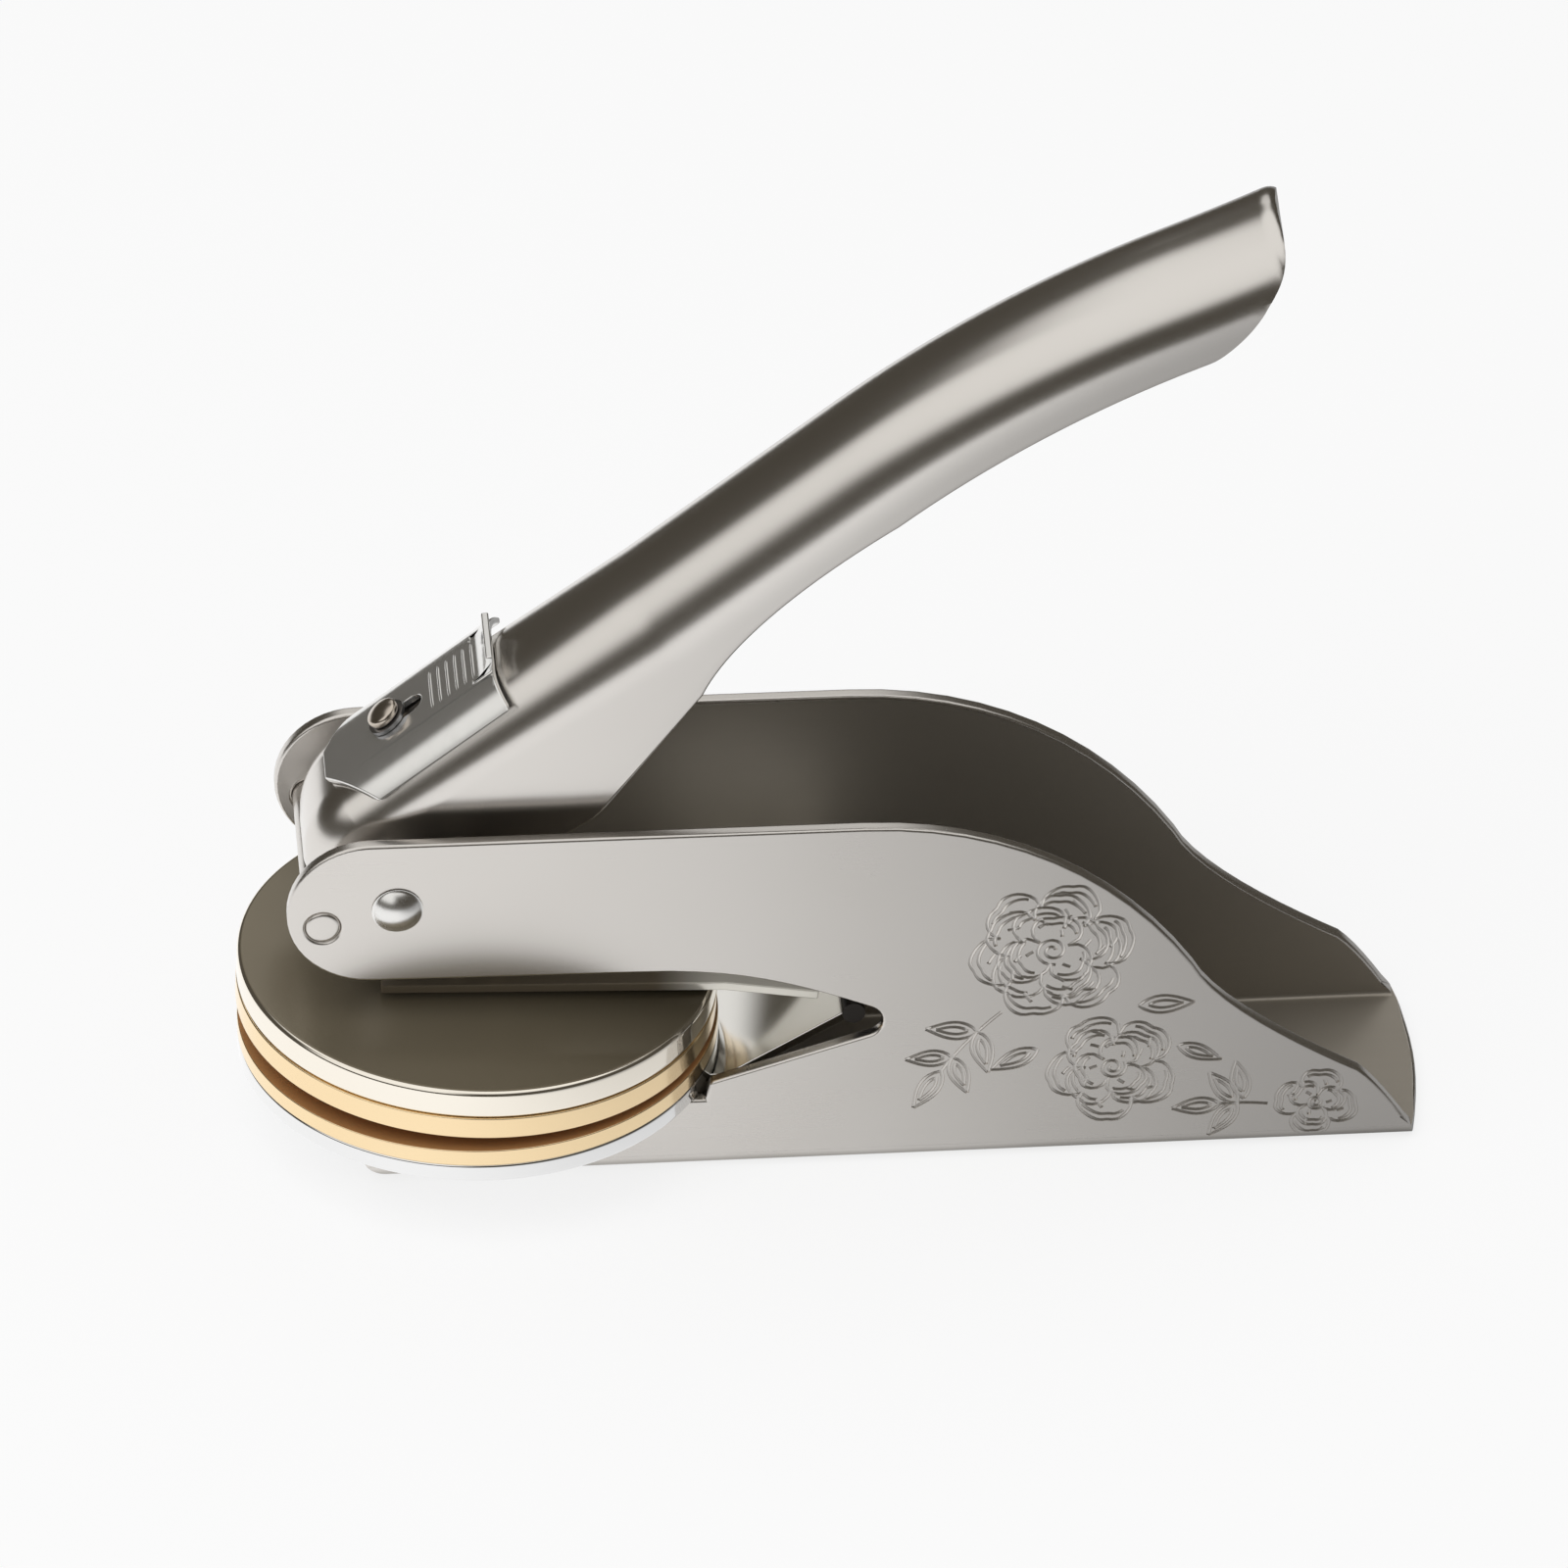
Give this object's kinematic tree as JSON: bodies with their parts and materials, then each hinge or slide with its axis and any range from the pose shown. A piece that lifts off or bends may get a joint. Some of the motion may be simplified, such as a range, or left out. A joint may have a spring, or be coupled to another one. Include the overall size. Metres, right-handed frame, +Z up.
{
  "type": "seal embosser",
  "caption": "Desk seal embosser: folded steel channel frame with an open jaw, round dies on a leaf clip and a long pressed lever with a sliding lock.",
  "frame": {"origin": "on the desk plane under the axis of the round dies", "axes": "+X from the dies towards the toe and the lever's grip, +Y across the frame, +Z up from the desk"},
  "size_m": [0.1229, 0.05, 0.1114],
  "materials": {
    "satin_nickel": "satin nickel plate",
    "bright_chrome": "polished chrome plate",
    "polished_brass": "polished",
    "spring_steel": "plain spring steel"
  },
  "bodies": {
    "base": {"frame": "satin_nickel", "pivot_rivet": "bright_chrome", "pivot_washers": "bright_chrome", "stop_pin": "satin_nickel", "return_spring": "spring_steel", "leaf_clip": "satin_nickel", "clip_pin": "satin_nickel", "lower_die": "polished_brass", "lower_die_screws": "bright_chrome", "lower_plate": "bright_chrome", "lower_stem": "satin_nickel"},
    "lever": {"lever": "satin_nickel", "press_cam": "spring_steel", "cam_rivet": "bright_chrome", "lock_stud": "bright_chrome", "lock_washer": "spring_steel"},
    "lock": {"lock_plate": "bright_chrome", "lock_foot": "spring_steel", "lock_posts": "bright_chrome"},
    "upper_die": {"upper_leaf": "satin_nickel", "upper_stem": "bright_chrome", "upper_collar": "satin_nickel", "stem_circlip": "spring_steel", "upper_plate": "bright_chrome", "upper_die": "polished_brass", "upper_die_screws": "bright_chrome"}
  },
  "joints": [
    {"name": "lever_pivot", "type": "hinge", "parent": "base", "child": "lever", "pos_m": [-0.0089, 0, 0.0349], "axis": [0, 1, 0], "range_deg": [0, 25], "stiffness_Nm_per_rad": 0.1, "springref_deg": -34.38, "deforming": ["return_spring"]},
    {"name": "lock_slide", "type": "slide", "parent": "lever", "child": "lock", "axis": [-0.7771, 0, -0.6293], "range_m": [0, 0.003]},
    {"name": "die_press", "type": "hinge", "parent": "base", "child": "upper_die", "pos_m": [0.0384, 0, 0.0181], "axis": [0, -1, 0], "range_deg": [0, 2.2]}
  ],
  "couplings": [
    {"joint": "die_press", "follows": "lever_pivot", "ratio": 0.088}
  ]
}
